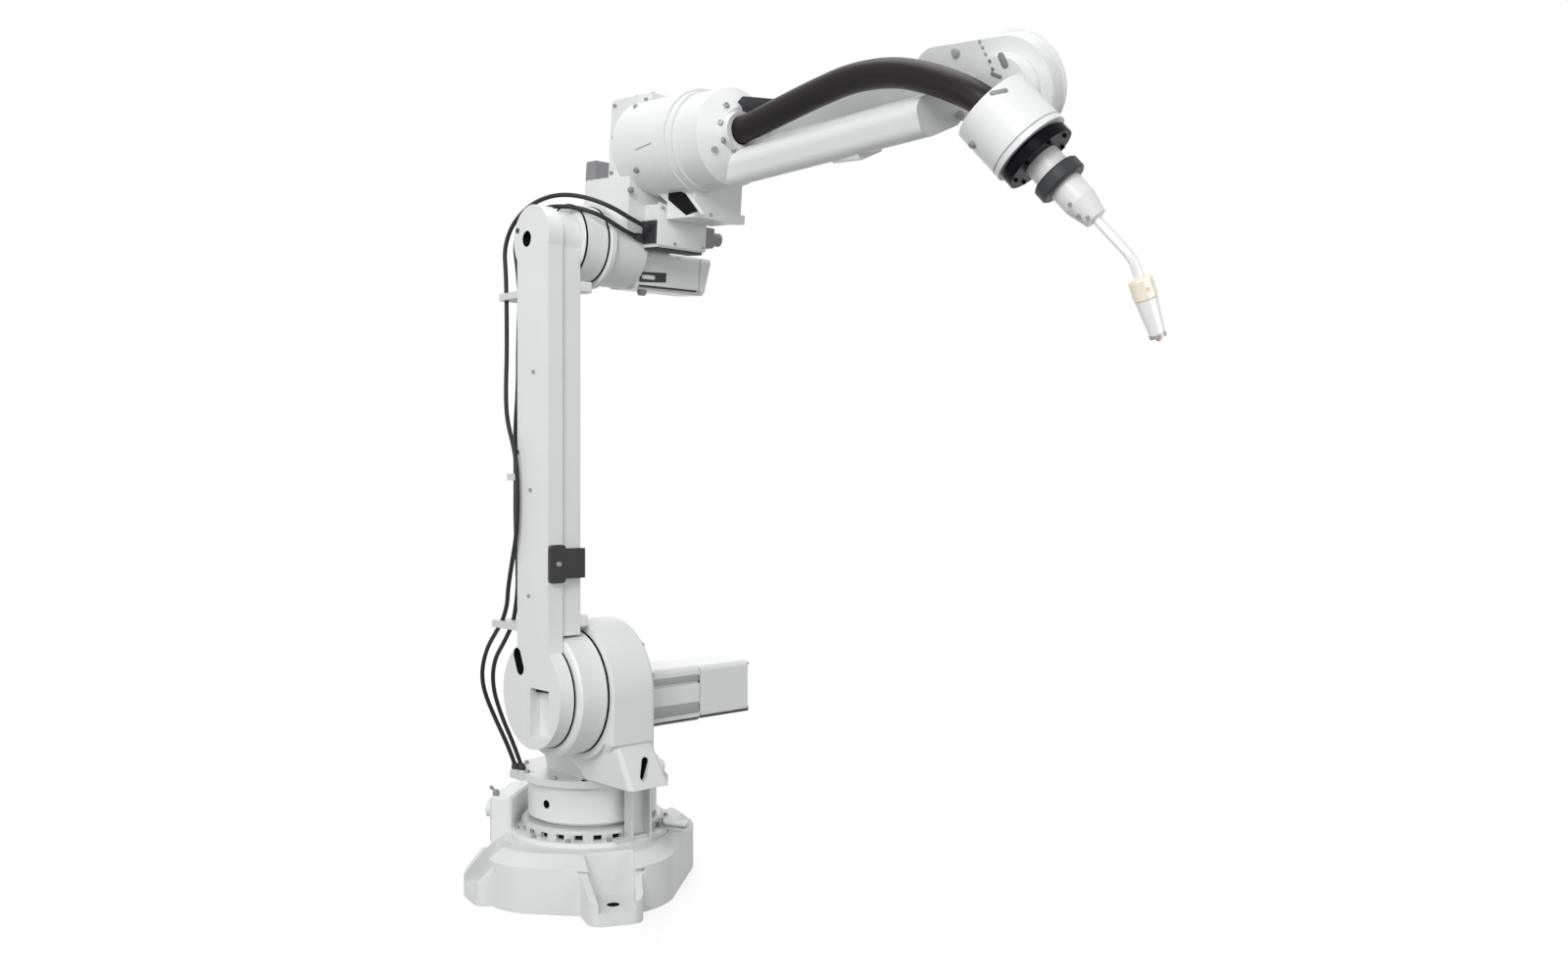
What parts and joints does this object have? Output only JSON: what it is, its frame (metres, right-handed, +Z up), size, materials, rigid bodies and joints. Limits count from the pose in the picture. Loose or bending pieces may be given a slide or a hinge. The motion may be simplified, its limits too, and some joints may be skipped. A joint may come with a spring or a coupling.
{
  "type": "industrial robot arm",
  "caption": "Floor-standing jointed robot arm with a ribbed round base, upright lower arm, long forearm with a curved hose, tilting wrist and a bent welding torch.",
  "frame": {"origin": "on the turning axis of the base, at the flat underside of its feet", "axes": "+Z up, +X along the forearm at rest, +Y towards the motors on the inner side of the upright arm"},
  "size_m": [1.5839, 0.5856, 1.6578],
  "materials": {
    "white_paint": "semi-gloss powder coat",
    "cable_sheath": "satin cable sheath",
    "hose_rubber": "satin hose rubber",
    "pad_rubber": "matt moulded rubber",
    "clamp_plastic": "matt moulded plastic",
    "dark_plastic": "matt moulded plastic",
    "dark_steel": "machined steel",
    "black_anodised": "black anodised",
    "torch_plastic": "satin moulded plastic",
    "neck_steel": "bright plated",
    "brass_ring": "satin brass",
    "nozzle_plating": "bright plated",
    "copper_tip": "machined copper"
  },
  "bodies": {
    "base": {"base_casting": "white_paint", "base_ring": "dark_steel", "connector_housing": "white_paint", "stop_bracket": "dark_steel"},
    "turret": {"turret_casting": "white_paint", "shoulder_gear_ring": "white_paint", "shoulder_motor": "white_paint", "shoulder_motor_cover": "white_paint", "swing_motor": "white_paint", "cable_gland": "dark_plastic", "shoulder_cables": "cable_sheath"},
    "lower_arm": {"lower_arm_casting": "white_paint", "impact_pad": "pad_rubber", "elbow_stop_block": "white_paint", "damper_block": "white_paint", "lower_cable_clamp": "clamp_plastic", "middle_cable_clamp": "clamp_plastic", "upper_cable_clamp": "clamp_plastic", "arm_cables": "cable_sheath", "elbow_cables": "cable_sheath"},
    "elbow": {"elbow_gear_ring": "white_paint", "elbow_housing": "white_paint", "elbow_motor": "white_paint", "junction_box": "white_paint", "roll_motor": "white_paint", "wrist_motor": "white_paint", "connector_block": "dark_plastic", "connector_plug": "dark_plastic"},
    "forearm": {"forearm_casting": "white_paint", "hose_collar": "white_paint", "forearm_clamp": "white_paint", "drive_housing": "white_paint", "wrist_drive_cover": "white_paint", "process_hose": "hose_rubber"},
    "wrist": {"tilt_housing": "white_paint"},
    "tool": {"turning_disc": "black_anodised", "torch_mount": "torch_plastic", "torch_clamp": "dark_plastic", "torch_body": "torch_plastic", "swan_neck": "neck_steel", "insulator": "brass_ring", "gas_nozzle": "nozzle_plating", "contact_tip": "copper_tip"}
  },
  "joints": [
    {"name": "base_swing", "type": "hinge", "parent": "base", "child": "turret", "pos_m": [0, 0, 0.146], "axis": [0, 0, 1], "range_deg": [-142, 218]},
    {"name": "shoulder_pitch", "type": "hinge", "parent": "turret", "child": "lower_arm", "pos_m": [0.15, -0.2, 0.445], "axis": [0, 1, 0], "range_deg": [-95, 155], "deforming": ["shoulder_cables"]},
    {"name": "elbow_pitch", "type": "hinge", "parent": "lower_arm", "child": "elbow", "pos_m": [0.15, -0.14, 1.345], "axis": [0, -1, 0], "range_deg": [-70, 185], "deforming": ["elbow_cables"]},
    {"name": "forearm_roll", "type": "hinge", "parent": "elbow", "child": "forearm", "pos_m": [0.39002, 0, 1.52978], "axis": [0.9962, 0, -0.0872], "range_deg": [-200, 150]},
    {"name": "wrist_tilt", "type": "hinge", "parent": "forearm", "child": "wrist", "pos_m": [1.08835, 0, 1.46869], "axis": [-0.0368, -0.9063, -0.421], "range_deg": [-69, 171], "deforming": ["process_hose"]},
    {"name": "tool_turn", "type": "hinge", "parent": "wrist", "child": "tool", "pos_m": [1.15169, 0.03678, 1.38396], "axis": [0.5655, 0.3284, -0.7565], "range_deg": [-400, 400]}
  ]
}
